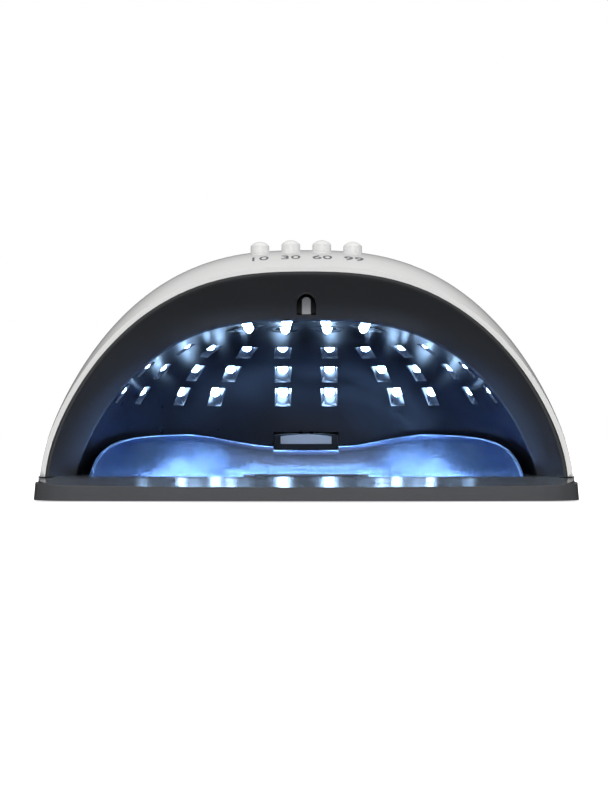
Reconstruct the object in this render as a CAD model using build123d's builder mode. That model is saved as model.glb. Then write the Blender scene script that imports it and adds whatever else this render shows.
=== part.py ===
"""Table-top UV/LED curing lamp: a domed housing, open at the front, that stands on a loose tray.

Frame: +Z up, X across, -Y towards the user's hand. The origin is on the table, at the centre of the tray.
All sizes are in millimetres. "Height" means above the tray's seat unless a name says otherwise.
"""

import math
import os
from dataclasses import dataclass, replace

from build123d import *

os.makedirs("parts", exist_ok=True)

# ---------------------------------------------------------------- driving sizes
# Housing
shell_half_width = 112.0
shell_rise = 99.0  # crown above the seat
shell_depth = 180.0  # foot of the front face to the back
shell_wall = 2.2
widest_setback = 30.0  # behind the foot of the front face
crown_setback = 70.0
front_narrowing = 2.0  # loss of half width at the front face
front_drop = 21.0  # loss of rise at the foot of the front face
rake_deg = 12.0  # front face leans back
back_share = 0.985  # the domes end in a small flat at this share of their depth

# Cavity that the hand goes into
cavity_half_width = 97.8
cavity_rise = 67.0
cavity_back_gap = 27.0  # shell back to cavity back
cavity_wall = 1.6
cavity_front_drop = 0.8
cavity_widest_setback = 15.0

# Front bezel
bezel_depth = 16.0
bezel_skin = 2.0
bezel_land = 1.2  # flat rim between shell and funnel
opening_lip = 1.0  # bezel standing in front of the cavity's edge

# Tray
apron = 25.0  # tray in front of the housing's feet
tray_flange = 3.0  # tray standing out beyond the shell
seat_height = 10.0  # tray land above the table
lip_height = 6.2
front_bow = 5.0  # how far the front lip bows out at its middle
corner_radius = 18.0
flange_height = 7.4
shoulder_width = 2.0
crest_setback = 3.0  # ramp's top edge behind the foot of the front face
recess_floor = 5.5
tray_floor = 2.2
recess_inset = 5.5  # cavity outline to recess edge
reflector_inset = 7.0  # cavity outline to reflector wall
reflector_wall = 1.2
reflector_low = 0.4  # wall's front ends, above the seat
reflector_high = 17.6  # wall's humps, above the seat
reflector_dip = 12.0  # wall's top beside the notch, above the seat
notch_half_width = 15.7
notch_height = 10.0  # notch's floor, above the seat
mirror_thickness = 0.6
foot_radius = 6.0
foot_stand = 0.6  # rubber showing under the tray
foot_thickness = 1.8
foot_setouts = ((85.0, 10.0), (60.0, 145.0))  # x, setback
flange_draft = 0.6
tray_rim = 7.0
rib_thickness = 2.0
clamp_width = 50.0
clamp_depth = 5.0
clamp_height = 2.4
clamp_tab = 1.0  # thickness of the ears
clamp_screw_x = 27.5
clamp_setback = 137.0
clamp_screw_length = 5.0
hump_x = 57.0
hump_setback = 130.0

# Fixings
clearance = 0.2
screw_radius = 1.2
screw_head_radius = 2.3
screw_head_height = 1.4
screw_length = 9.0
boss_radius = 3.2
boss_height = 16.0
bezel_screw_setouts = ((50.0, 72.0), (96.8, 22.0))  # x, up the raked face
ring_screw_setbacks = (36.0, 88.0, 138.0)
magnet_setbacks = (60.0, 114.0)
magnet_back_x = 30.0
ring_thickness = 3.0
ring_lip = 1.5  # inner shell's foot flange that lies on the ring
magnet_radius = 3.5
magnet_thickness = 2.0
keeper_radius = 4.0
keeper_thickness = 1.0

# Lamps
window_width = 7.8
window_height = 9.6
cup_wall = 1.1
cup_depth = 4.3  # from the cavity's surface out to the tile
cup_floor = 5.6  # side of the square hole at the cup's floor
bead_shift = 1.5  # bead above the window's middle
tile_thickness = 1.0
bead_radius = 2.15
bead_base = 0.8
column_axis_setback = 70.0
middle_column_x = 11.0
lamp_rows = (  # height above the seat, azimuths of the side columns
    (35.0, (33.0, 49.0, 77.0, 105.0)),
    (45.8, (30.0, 48.0, 76.0, 105.0)),
    (55.6, (28.0, 50.5, 80.0)),
)
ceiling_places = ((9.8, 96.0), (27.3, 82.0), (9.8, 52.0), (27.3, 45.0))  # x, setback

# Controls
button_radius = 4.1
button_pitch = 13.6
button_setback = 59.0
button_stand = 4.3  # crown of the cap above the shell
button_travel = 0.8
button_dome = 1.9
button_flange_radius = 5.3
flange_thickness = 1.2
stem_radius = 1.7
board_width = 84.0
board_depth = 52.0
board_thickness = 1.6
board_height = 84.0  # underside above the seat
board_setback = 74.0  # middle of the board
switch_side = 6.0
switch_height = 3.5
plunger_radius = 1.7
plunger_height = 1.5
display_width = 34.0
display_depth = 15.0
display_setback = 88.0
display_corner = 3.0
display_lip = 1.5  # border under the shell
display_lip_thickness = 1.2
display_gap = 0.6
display_module_width = 30.0
display_module_depth = 12.0

# Sensors
eye_width = 3.7
eye_height = 7.6
eye_slot_width = 8.3
eye_slot_height = 7.9
eye_up = 76.7  # middle of the slot, up the raked face
eye_setback = 13.0
eye_depth = 2.9
eye_board_width = 15.0
eye_board_height = 9.0
sensor_board_thickness = 1.2
receiver_width = 30.6
receiver_height = 8.4
receiver_low = 9.8
receiver_reach = 3.5  # frame standing in from the cavity's back
receiver_depth = 5.5
receiver_board_width = 26.0
receiver_board_height = 7.0
receiver_lens_width = 24.4
receiver_lens_height = 4.6
receiver_lens_low = 12.6

# Power
jack_body_side = 13.0
jack_height = ring_thickness + jack_body_side / 2
jack_body_depth = 9.0
jack_barrel_radius = 4.0
jack_bore_radius = 3.1
jack_pin_radius = 1.05
jack_pin_length = 9.0
lead_radius = 0.9
lead_pitch = 2.6
vent_count = 9
vent_pitch = 7.0
vent_width = 2.6
vent_low = 48.0
vent_high = 68.0

# ---------------------------------------------------------------- places that follow
tray_depth = apron + shell_depth + tray_flange
lip_y = -tray_depth / 2
face_y = lip_y + apron
shell_back_y = face_y + shell_depth
rake = math.radians(rake_deg)


@dataclass
class Dome:
    """A dome made of arches across X. Each arch is a superellipse whose half width and rise follow Y."""

    half_width: float
    rise: float
    widest_y: float
    crown_y: float
    back_y: float
    side_reach: float
    crown_reach: float
    plan_power: float
    crown_power: float
    side_power: float
    top_power: float

    def inset(self, gap):
        return replace(
            self, half_width=self.half_width - gap, rise=self.rise - gap, back_y=self.back_y - gap
        )

    def width_at(self, y):
        if y <= self.widest_y:
            return self.half_width * math.sqrt(1 - ((self.widest_y - y) / self.side_reach) ** 2)
        share = (y - self.widest_y) / (self.back_y - self.widest_y)
        return self.half_width * max(0.0, 1 - share**self.plan_power) ** (1 / self.plan_power)

    def rise_at(self, y):
        if y <= self.crown_y:
            return self.rise * math.sqrt(1 - ((self.crown_y - y) / self.crown_reach) ** 2)
        share = (y - self.crown_y) / (self.back_y - self.crown_y)
        return self.rise * max(0.0, 1 - share**self.crown_power) ** (1 / self.crown_power)

    def excess(self, x, y, height):
        """Below zero inside the dome, above zero outside it."""
        width, rise = self.width_at(y), self.rise_at(y)
        if width < 0.1 or rise < 0.1:
            return 1.0
        return (abs(x) / width) ** self.side_power + (max(height, 0) / rise) ** self.top_power - 1

    def reach_at(self, y, height):
        """Half width at a height."""
        share = 1 - (max(height, 0) / self.rise_at(y)) ** self.top_power
        return self.width_at(y) * max(0.0, share) ** (1 / self.side_power)

    def height_at(self, x, y):
        share = 1 - (abs(x) / self.width_at(y)) ** self.side_power
        return self.rise_at(y) * max(0.0, share) ** (1 / self.top_power)

    def flat_back_y(self):
        return self.crown_y + (self.back_y - self.crown_y) * back_share


def reach_for(full, setback, loss):
    """Half axis of the ellipse that falls from full by loss over setback."""
    return setback / math.sqrt(1 - ((full - loss) / full) ** 2)


outer = Dome(
    half_width=shell_half_width,
    rise=shell_rise,
    widest_y=face_y + widest_setback,
    crown_y=face_y + crown_setback,
    back_y=shell_back_y,
    side_reach=reach_for(shell_half_width, widest_setback, front_narrowing),
    crown_reach=reach_for(shell_rise, crown_setback, front_drop),
    plan_power=2.3,
    crown_power=2.3,
    side_power=2.62,
    top_power=1.55,
)
cavity = Dome(
    half_width=cavity_half_width,
    rise=cavity_rise,
    widest_y=face_y + cavity_widest_setback,
    crown_y=face_y + crown_setback,
    back_y=shell_back_y - cavity_back_gap,
    side_reach=1e4,
    crown_reach=reach_for(cavity_rise, crown_setback, cavity_front_drop),
    plan_power=2.5,
    crown_power=2.6,
    side_power=2.95,
    top_power=1.3,
)
shell_inside = outer.inset(shell_wall)
plug = outer.inset(shell_wall + clearance)
cavity_outside = cavity.inset(-cavity_wall)

arch_angles = [math.radians(a) for a in (0, 14, 28, 42, 56, 68, 79, 90)]
station_shares = (0.28, 0.52, 0.71, 0.84, 0.925, 0.965, back_share)

face_plane = Plane(
    origin=(0, face_y, seat_height),
    x_dir=(1, 0, 0),
    z_dir=(0, -math.cos(rake), math.sin(rake)),
)


def behind_face(setback):
    """The plane parallel to the front face, this far behind it."""
    return face_plane.offset(-setback)


def mirrored(points):
    """Points of a right half, from foot to crown, made into a whole arch."""
    left = [(-x, z) for x, z in reversed(points[:-1])]
    return points + left


def arch_points(half_width, rise, side_power, top_power):
    points = [
        (half_width * math.cos(a) ** (2 / side_power), rise * math.sin(a) ** (2 / top_power))
        for a in arch_angles[:-1]
    ]
    return mirrored(points + [(0.0, rise)])


def arch_face(points, foot):
    """A closed arch: the spline over the top, straight legs down by foot, and the base line."""
    with BuildSketch(mode=Mode.PRIVATE) as sketch:
        with BuildLine():
            Spline(*points)
            (x, z) = points[0]
            if foot > 0:
                Polyline((x, z), (x, z - foot), (-x, z - foot), (-x, z))
            else:
                Line((x, z), (-x, z))
        make_face()
    return sketch.sketch


def dome_solid(dome, front_y, foot=0.0):
    """The dome from front_y to its flat back, standing on the seat and reaching foot below it."""
    front = [front_y + (dome.crown_y - front_y) * share for share in (0, 0.35, 0.7, 1.0)]
    back = [dome.crown_y + (dome.back_y - dome.crown_y) * share for share in station_shares]
    with BuildPart(mode=Mode.PRIVATE) as part:
        for y in front + back:
            points = arch_points(
                dome.width_at(y), dome.rise_at(y), dome.side_power, dome.top_power
            )
            with BuildSketch(Plane.XZ.offset(-y)) as section:
                add(arch_face([(x, seat_height + z) for x, z in points], foot))
        loft()
    return part.part


def raked_arch(dome, setback):
    """Where the dome meets the plane this far behind the front face, in that plane's own axes."""

    def place(up):
        return face_y + setback * math.cos(rake) + up * math.sin(rake), (
            up * math.cos(rake) - setback * math.sin(rake)
        )

    low, high = 0.0, 2 * dome.rise
    for _ in range(60):
        middle = (low + high) / 2
        y, height = place(middle)
        low, high = (middle, high) if height < dome.rise_at(y) else (low, middle)
    crown = low
    points = []
    for angle in arch_angles[:-1]:
        up = crown * math.sin(angle) ** (2 / dome.top_power)
        y, height = place(up)
        points.append((dome.reach_at(y, height), up))
    return mirrored(points + [(0.0, crown)])


def plan_points(dome, front_y):
    """The dome's outline on the seat, from its right front round the back to its left front."""
    right = [(dome.width_at(front_y), front_y)]
    for angle in [math.radians(a) for a in (0, 12, 24, 36, 48, 60, 72, 82)]:
        y = dome.widest_y + (dome.back_y - dome.widest_y) * math.sin(angle) ** (2 / dome.plan_power)
        if y > front_y + 1:
            right.append((dome.width_at(y), y))
    return mirrored(right + [(0.0, dome.back_y)])


def plan_face(dome, front_y, margin=0.0):
    """The dome's footprint behind front_y, grown by margin."""
    points = plan_points(dome.inset(-margin), front_y)
    with BuildSketch(mode=Mode.PRIVATE) as sketch:
        with BuildLine():
            Spline(*points)
            Line(points[0], points[-1])
        make_face()
    return sketch.sketch


def tray_face(margin):
    """The tray's footprint, grown by margin: the shell's outline, closed by a bowed front lip."""
    points = plan_points(outer.inset(-tray_flange - margin), lip_y + front_bow - margin)
    with BuildSketch(mode=Mode.PRIVATE) as sketch:
        with BuildLine():
            Spline(*points)
            ThreePointArc(points[-1], (0, lip_y - margin), points[0])
        make_face()
        fillet(sketch.vertices(), corner_radius + margin)
    return sketch.sketch


def bullet_face(width, height):
    """An upright face with a round top, centred on its middle."""
    with BuildSketch(mode=Mode.PRIVATE) as sketch:
        with Locations((0, -width / 4)):
            Rectangle(width, height - width / 2)
        with Locations((0, (height - width) / 2)):
            Circle(width / 2)
    return sketch.sketch


def slab(face, low, high):
    """A flat face on XY made into a plate from one height above the table to another."""
    with BuildPart(mode=Mode.PRIVATE) as part:
        with BuildSketch(Plane.XY.offset(low)):
            add(face)
        extrude(amount=high - low)
    return part.part


def save(part, name):
    part.part.label = name
    export_step(part.part, f"parts/{name}.step")


# ---------------------------------------------------------------- lamp places
def lamp_plane(x, y, height):
    """A plane on the cavity's surface: x_dir level, y_dir up the wall, z_dir out of the cavity."""
    step = 0.05
    slope = Vector(
        cavity.excess(x + step, y, height) - cavity.excess(x - step, y, height),
        cavity.excess(x, y + step, height) - cavity.excess(x, y - step, height),
        cavity.excess(x, y, height + step) - cavity.excess(x, y, height - step),
    ).normalized()
    level = Vector(0, 0, 1).cross(slope).normalized()
    return Plane(origin=(x, y, seat_height + height), x_dir=level, z_dir=slope)


def wall_lamp(foot_x, azimuth, height):
    """Goes out from the column's axis until it meets the cavity's surface."""
    turn = math.radians(azimuth)
    axis_y = face_y + column_axis_setback
    low, high = 0.0, shell_depth
    for _ in range(60):
        middle = (low + high) / 2
        x, y = foot_x + middle * math.sin(turn), axis_y + middle * math.cos(turn)
        low, high = (middle, high) if cavity.excess(x, y, height) < 0 else (low, middle)
    return lamp_plane(foot_x + low * math.sin(turn), axis_y + low * math.cos(turn), height)


lamps = []
for side in (-1, 1):
    for height, azimuths in lamp_rows:
        lamps.append(wall_lamp(side * middle_column_x, 0.0, height))
        lamps += [wall_lamp(0.0, side * azimuth, height) for azimuth in azimuths]
    for x, setback in ceiling_places:
        y = face_y + setback
        lamps.append(lamp_plane(side * x, y, cavity.height_at(x, y)))



def at_lamps(solid):
    """Copies of a solid, one on each lamp's plane."""
    with BuildPart(mode=Mode.PRIVATE) as group:
        with Locations(*[plane.location for plane in lamps]):
            add(solid)
    return group.part


# ---------------------------------------------------------------- shared places
ring_inside = cavity_outside.inset(-clearance)
ring_outside = plug.inset(clearance)
ring_top = seat_height + ring_thickness
ring_front_y = face_y + bezel_depth / math.cos(rake) + ring_thickness * math.tan(rake) + clearance
ring_back_y = (ring_inside.back_y + ring_outside.back_y) / 2


def ring_place(setback, side):
    """Middle of the base ring at this distance behind the foot of the front face."""
    y = face_y + setback
    return (side * (ring_inside.width_at(y) + ring_outside.width_at(y)) / 2, y)


ring_screw_places = [ring_place(setback, side) for setback in ring_screw_setbacks for side in (-1, 1)]
magnet_places = [ring_place(setback, side) for setback in magnet_setbacks for side in (-1, 1)]
magnet_places += [(side * magnet_back_x, ring_back_y) for side in (-1, 1)]
bezel_screw_places = [(side * x, up) for x, up in bezel_screw_setouts for side in (-1, 1)]

button_xs = [(i - 1.5) * button_pitch for i in range(4)]
button_y = face_y + button_setback
display_y = face_y + display_setback
board_y = face_y + board_setback
board_low = seat_height + board_height
board_top = board_low + board_thickness
switch_top = board_top + switch_height
post_x = board_width / 2 - boss_radius - 1
post_reach = board_depth / 2 - boss_radius - 1
post_places = [(sx * post_x, board_y + sy * post_reach) for sx in (-1, 1) for sy in (-1, 1)]
jack_z = seat_height + jack_height
jack_mouth_y = outer.flat_back_y()
jack_body_y = shell_inside.flat_back_y() - clearance
receiver_z = seat_height + receiver_low + receiver_height / 2
receiver_front_y = cavity.flat_back_y() - receiver_reach
receiver_back_y = receiver_front_y + receiver_depth
mirror_top = recess_floor + mirror_thickness
clamp_y = face_y + clamp_setback
clamp_screw_places = [(side * clamp_screw_x, clamp_y) for side in (-1, 1)]
foot_places = [(side * x, face_y + setback) for x, setback in foot_setouts for side in (-1, 1)]


def pan_screw(length):
    """A pan-head screw: head up from the origin, shaft down, cross recess in the head."""
    low_middle = (Align.CENTER, Align.CENTER, Align.MIN)
    with BuildPart(mode=Mode.PRIVATE) as screw:
        Cylinder(screw_head_radius, screw_head_height, align=low_middle)
        fillet(screw.edges().group_by(Axis.Z)[-1], 0.4 * screw_head_height)
        Cylinder(screw_radius, length, align=(Align.CENTER, Align.CENTER, Align.MAX))
        with BuildSketch(Plane.XY.offset(screw_head_height)):
            Rectangle(1.3 * screw_head_radius, screw_radius / 2)
            Rectangle(screw_radius / 2, 1.3 * screw_head_radius)
        extrude(amount=-0.6 * screw_head_height, mode=Mode.SUBTRACT)
    return screw.part


# ---------------------------------------------------------------- outer shell
outer_form = dome_solid(outer, face_y - bezel_depth / 3)
inside_form = dome_solid(shell_inside, face_y - bezel_depth / 2, foot=4)
plug_form = dome_solid(plug, face_y - bezel_depth / 3)

with BuildPart(mode=Mode.PRIVATE) as shell_hollow:
    add(inside_form)
    for x, y in ring_screw_places:
        with BuildSketch(Plane.XY.offset(ring_top + clearance)):
            with Locations((x, y)):
                Circle(boss_radius)
            with Locations((x + math.copysign(boss_height / 2, x), y)):
                Rectangle(boss_height, shell_wall)
        extrude(amount=boss_height, mode=Mode.SUBTRACT)

with BuildPart() as outer_shell:
    add(outer_form)
    add(shell_hollow.part, mode=Mode.SUBTRACT)
    split(bisect_by=face_plane, keep=Keep.BOTTOM)
    with BuildSketch(Plane.XY.offset(ring_top)):
        with Locations(*ring_screw_places):
            Circle(screw_radius)
    extrude(amount=screw_length, mode=Mode.SUBTRACT)
    with BuildSketch(Plane.XY.offset(board_low)):
        with Locations(*[(x, button_y) for x in button_xs]):
            Circle(button_radius + clearance)
        with Locations((0, display_y)):
            RectangleRounded(display_width, display_depth, display_corner)
    extrude(amount=shell_rise, mode=Mode.SUBTRACT)
    with BuildSketch(Plane.XZ.offset(-jack_body_y)):
        with Locations((0, jack_z)):
            Circle(jack_barrel_radius + clearance)
    extrude(amount=-bezel_depth, mode=Mode.SUBTRACT)
    with BuildSketch(Plane.XZ.offset(-board_y)):
        with Locations((0, seat_height + (vent_low + vent_high) / 2)):
            with GridLocations(vent_pitch, 1, vent_count, 1):
                SlotOverall(vent_high - vent_low, vent_width, rotation=90)
    extrude(amount=-shell_depth, mode=Mode.SUBTRACT)
save(outer_shell, "outer_shell")

# ---------------------------------------------------------------- display window
lip_width = display_width + 2 * display_lip
lip_depth = display_depth + 2 * display_lip
window_lip_height = min(
    plug.height_at(lip_width / 2, display_y + reach) for reach in (-lip_depth / 2, lip_depth / 2)
)
window_low = seat_height + window_lip_height - display_lip_thickness

with BuildPart(mode=Mode.PRIVATE) as window_lip:
    with BuildSketch(Plane.XY.offset(window_low)):
        with Locations((0, display_y)):
            RectangleRounded(lip_width, lip_depth, display_corner + display_lip)
    extrude(amount=shell_rise)
    add(plug_form, mode=Mode.INTERSECT)

with BuildPart() as display_window:
    with BuildSketch(Plane.XY.offset(window_low)):
        with Locations((0, display_y)):
            RectangleRounded(display_width - clearance, display_depth - clearance, display_corner)
    extrude(amount=shell_rise)
    add(outer_form, mode=Mode.INTERSECT)
    add(window_lip.part)
save(display_window, "display_window")

# ---------------------------------------------------------------- inner shell
pocket_width = window_width + 2 * cup_wall
pocket_height = window_height + 2 * cup_wall
tab_thickness = 2 * cavity_wall
cavity_form = dome_solid(cavity, face_y - clearance, foot=4)

with BuildPart(mode=Mode.PRIVATE) as pocket_block:
    with BuildSketch(Plane.XY.offset(-cavity_wall)):
        Rectangle(pocket_width, pocket_height)
    extrude(amount=cavity_wall + cup_depth)

with BuildPart(mode=Mode.PRIVATE) as pocket_hole:
    for depth in (-cavity_wall, 0):
        with BuildSketch(Plane.XY.offset(depth)):
            Rectangle(window_width, window_height)
    with BuildSketch(Plane.XY.offset(cup_depth)):
        with Locations((0, bead_shift)):
            Rectangle(cup_floor, cup_floor)
    loft(ruled=True)

with BuildPart() as inner_shell:
    add(dome_solid(cavity_outside, face_y))
    split(bisect_by=behind_face(bezel_depth), keep=Keep.BOTTOM)
    with BuildSketch(Plane.XY.offset(seat_height + cavity_rise / 2)):
        with Locations(*post_places):
            Circle(boss_radius)
    extrude(amount=board_height - cavity_rise / 2)
    with BuildSketch(Plane.XY.offset(ring_top)):
        add(plan_face(cavity_outside, ring_front_y, ring_lip))
    extrude(amount=cavity_wall)
    for x, up in bezel_screw_places:
        with BuildSketch(behind_face(bezel_depth)):
            with Locations((x, up)):
                Circle(boss_radius)
            with Locations((0.86 * x, 0.86 * up)):
                Circle(boss_radius + 1)
            make_hull()
        extrude(amount=-tab_thickness)
    add(at_lamps(pocket_block.part))
    add(cavity_form, mode=Mode.SUBTRACT)
    add(at_lamps(pocket_hole.part), mode=Mode.SUBTRACT)
    with BuildSketch(Plane.XY.offset(board_low - screw_length)):
        with Locations(*post_places):
            Circle(screw_radius)
    extrude(amount=screw_length, mode=Mode.SUBTRACT)
    with BuildSketch(behind_face(bezel_depth)):
        with Locations(*bezel_screw_places):
            Circle(screw_radius + clearance)
    extrude(amount=-tab_thickness, mode=Mode.SUBTRACT)
    with BuildSketch(Plane.XZ.offset(-receiver_front_y)):
        with Locations((0, receiver_z)):
            Rectangle(receiver_width + 2 * clearance, receiver_height + 2 * clearance)
    extrude(amount=-2 * receiver_depth, mode=Mode.SUBTRACT)
save(inner_shell, "inner_shell")

# ---------------------------------------------------------------- lamps
with BuildPart(mode=Mode.PRIVATE) as tile:
    with BuildSketch(Plane.XY.offset(cup_depth)):
        Rectangle(pocket_width, pocket_height)
    extrude(amount=tile_thickness)

with BuildPart(mode=Mode.PRIVATE) as bead:
    with BuildSketch(Plane.XY.offset(cup_depth)):
        with Locations((0, bead_shift)):
            Circle(bead_radius)
    extrude(amount=-bead_base)
    with Locations((0, bead_shift, cup_depth - bead_base)):
        Sphere(bead_radius, arc_size1=-90, arc_size2=0, align=(Align.CENTER, Align.CENTER, Align.MAX))

with BuildPart() as led_tiles:
    add(at_lamps(tile.part))
save(led_tiles, "led_tiles")

with BuildPart() as led_beads:
    add(at_lamps(bead.part))
save(led_beads, "led_beads")

# ---------------------------------------------------------------- front bezel and its screws
bezel_back = behind_face(bezel_depth)
eye_board_setback = eye_setback + eye_depth
eye_board_up = eye_up + (eye_board_height - eye_height) / 2 + sensor_board_thickness


def funnel(margin):
    """The funnel's surface, from the rim of the face in to the opening, grown by margin."""
    with BuildPart(mode=Mode.PRIVATE) as part:
        with BuildSketch(face_plane):
            add(arch_face(raked_arch(plug.inset(bezel_land - margin), 0), 4))
        with BuildSketch(bezel_back):
            add(arch_face(raked_arch(cavity.inset(opening_lip - margin), bezel_depth), 4))
        loft()
    return part.part


with BuildPart(mode=Mode.PRIVATE) as bezel_hollow:
    add(dome_solid(plug.inset(bezel_skin), face_y - bezel_depth / 2, foot=4))
    split(bisect_by=behind_face(bezel_skin), keep=Keep.BOTTOM)
    add(funnel(bezel_skin), mode=Mode.SUBTRACT)
    with BuildSketch(bezel_back):
        with Locations(*bezel_screw_places):
            Circle(boss_radius)
    extrude(amount=bezel_depth, mode=Mode.SUBTRACT)
    with BuildSketch(behind_face(eye_board_setback)):
        with Locations((0, eye_board_up)):
            with GridLocations(eye_slot_width + bezel_skin, 1, 2, 1):
                Rectangle(bezel_skin, eye_board_height - bezel_skin)
    extrude(amount=bezel_depth, mode=Mode.SUBTRACT)

with BuildPart() as front_bezel:
    add(plug_form)
    split(bisect_by=face_plane, keep=Keep.BOTTOM)
    split(bisect_by=bezel_back, keep=Keep.TOP)
    add(funnel(0), mode=Mode.SUBTRACT)
    add(bezel_hollow.part, mode=Mode.SUBTRACT)
    with BuildSketch(bezel_back):
        with Locations(*bezel_screw_places):
            Circle(screw_radius)
    extrude(amount=screw_length - tab_thickness, mode=Mode.SUBTRACT)
    with BuildSketch(bezel_back):
        with Locations((0, eye_up)):
            add(bullet_face(eye_slot_width, eye_slot_height))
    extrude(amount=bezel_depth, mode=Mode.SUBTRACT)
save(front_bezel, "front_bezel")

with BuildPart() as bezel_screws:
    for x, up in bezel_screw_places:
        middle = behind_face(bezel_depth + tab_thickness).from_local_coords(Vector(x, up, 0))
        with Locations(Plane(origin=middle, x_dir=(1, 0, 0), z_dir=-face_plane.z_dir).location):
            add(pan_screw(screw_length - clearance))
save(bezel_screws, "bezel_screws")

# ---------------------------------------------------------------- front sensor
with BuildPart() as front_sensor_lens:
    with BuildSketch(behind_face(eye_setback)):
        with Locations((0, eye_up)):
            add(bullet_face(eye_width, eye_height))
    extrude(amount=-eye_depth)
save(front_sensor_lens, "front_sensor_lens")

with BuildPart() as front_sensor_board:
    with BuildSketch(behind_face(eye_board_setback)):
        with Locations((0, eye_board_up)):
            Rectangle(eye_board_width, eye_board_height)
    extrude(amount=-sensor_board_thickness)
save(front_sensor_board, "front_sensor_board")

# ---------------------------------------------------------------- rear sensor
receiver_lens_z = seat_height + receiver_lens_low + receiver_lens_height / 2

with BuildPart() as rear_sensor_frame:
    with BuildSketch(Plane.XZ.offset(-receiver_front_y)) as receiver_outline:
        with Locations((0, receiver_z)):
            Rectangle(receiver_width, receiver_height)
        fillet(receiver_outline.vertices().group_by(Axis.Y)[-1], receiver_height / 3)
    extrude(amount=-receiver_depth)
    with BuildSketch(Plane.XZ.offset(-receiver_front_y)):
        with Locations((0, receiver_lens_z)):
            Rectangle(receiver_lens_width, receiver_lens_height)
    extrude(amount=-receiver_depth, mode=Mode.SUBTRACT)
save(rear_sensor_frame, "rear_sensor_frame")

with BuildPart() as rear_sensor_window:
    with BuildSketch(Plane.XZ.offset(-receiver_front_y - clearance)):
        with Locations((0, receiver_lens_z)):
            Rectangle(receiver_lens_width, receiver_lens_height)
    extrude(amount=-receiver_depth + clearance)
save(rear_sensor_window, "rear_sensor_window")

with BuildPart() as rear_sensor_board:
    with BuildSketch(Plane.XZ.offset(-receiver_back_y)):
        with Locations((0, receiver_z)):
            Rectangle(receiver_board_width, receiver_board_height)
    extrude(amount=-sensor_board_thickness)
save(rear_sensor_board, "rear_sensor_board")

# ---------------------------------------------------------------- base ring, magnets and screws
magnet_low = seat_height + clearance
ring_screw_seat = seat_height + screw_head_height + clearance

with BuildPart() as base_ring:
    with BuildSketch(Plane.XY.offset(seat_height)):
        add(plan_face(ring_outside, ring_front_y))
        with Locations((0, ring_outside.flat_back_y())):
            Rectangle(
                2 * shell_half_width, shell_depth, align=(Align.CENTER, Align.MAX), mode=Mode.INTERSECT
            )
        add(plan_face(ring_inside, ring_front_y - bezel_depth), mode=Mode.SUBTRACT)
    extrude(amount=ring_thickness)
    with BuildSketch(Plane.XY.offset(seat_height)):
        with Locations(*ring_screw_places):
            Circle(screw_radius + clearance)
    extrude(amount=ring_thickness, mode=Mode.SUBTRACT)
    with BuildSketch(Plane.XY.offset(seat_height)):
        with Locations(*ring_screw_places):
            Circle(screw_head_radius + clearance)
    extrude(amount=ring_screw_seat - seat_height, mode=Mode.SUBTRACT)
    with BuildSketch(Plane.XY.offset(seat_height)):
        with Locations(*magnet_places):
            Circle(magnet_radius)
    extrude(amount=clearance + magnet_thickness, mode=Mode.SUBTRACT)
save(base_ring, "base_ring")

with BuildPart() as base_magnets:
    with BuildSketch(Plane.XY.offset(magnet_low)):
        with Locations(*magnet_places):
            Circle(magnet_radius)
    extrude(amount=magnet_thickness)
save(base_magnets, "base_magnets")

with BuildPart() as base_screws:
    for x, y in ring_screw_places:
        with Locations(Plane(origin=(x, y, ring_screw_seat), x_dir=(1, 0, 0), z_dir=(0, 0, -1)).location):
            add(pan_screw(screw_length))
save(base_screws, "base_screws")

# ---------------------------------------------------------------- control board
with BuildPart() as control_board:
    with BuildSketch(Plane.XY.offset(board_low)):
        with Locations((0, board_y)):
            RectangleRounded(board_width, board_depth, boss_radius)
        with Locations(*post_places):
            Circle(screw_radius + clearance, mode=Mode.SUBTRACT)
    extrude(amount=board_thickness)
save(control_board, "control_board")

with BuildPart() as board_screws:
    with Locations(*[(x, y, board_top) for x, y in post_places]):
        add(pan_screw(screw_length))
save(board_screws, "board_screws")

with BuildPart() as switch_bodies:
    with BuildSketch(Plane.XY.offset(board_top)):
        with Locations(*[(x, button_y) for x in button_xs]):
            Rectangle(switch_side, switch_side)
    extrude(amount=switch_height)
    with BuildSketch(Plane.XY.offset(switch_top)):
        with Locations(*[(x, button_y) for x in button_xs]):
            Circle(plunger_radius + clearance)
    extrude(amount=-2.5 * button_travel, mode=Mode.SUBTRACT)
save(switch_bodies, "switch_bodies")

with BuildPart() as display_module:
    with BuildSketch(Plane.XY.offset(board_top)):
        with Locations((0, display_y)):
            Rectangle(display_module_width, display_module_depth)
    extrude(amount=window_low - display_gap - board_top)
save(display_module, "display_module")

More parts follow.
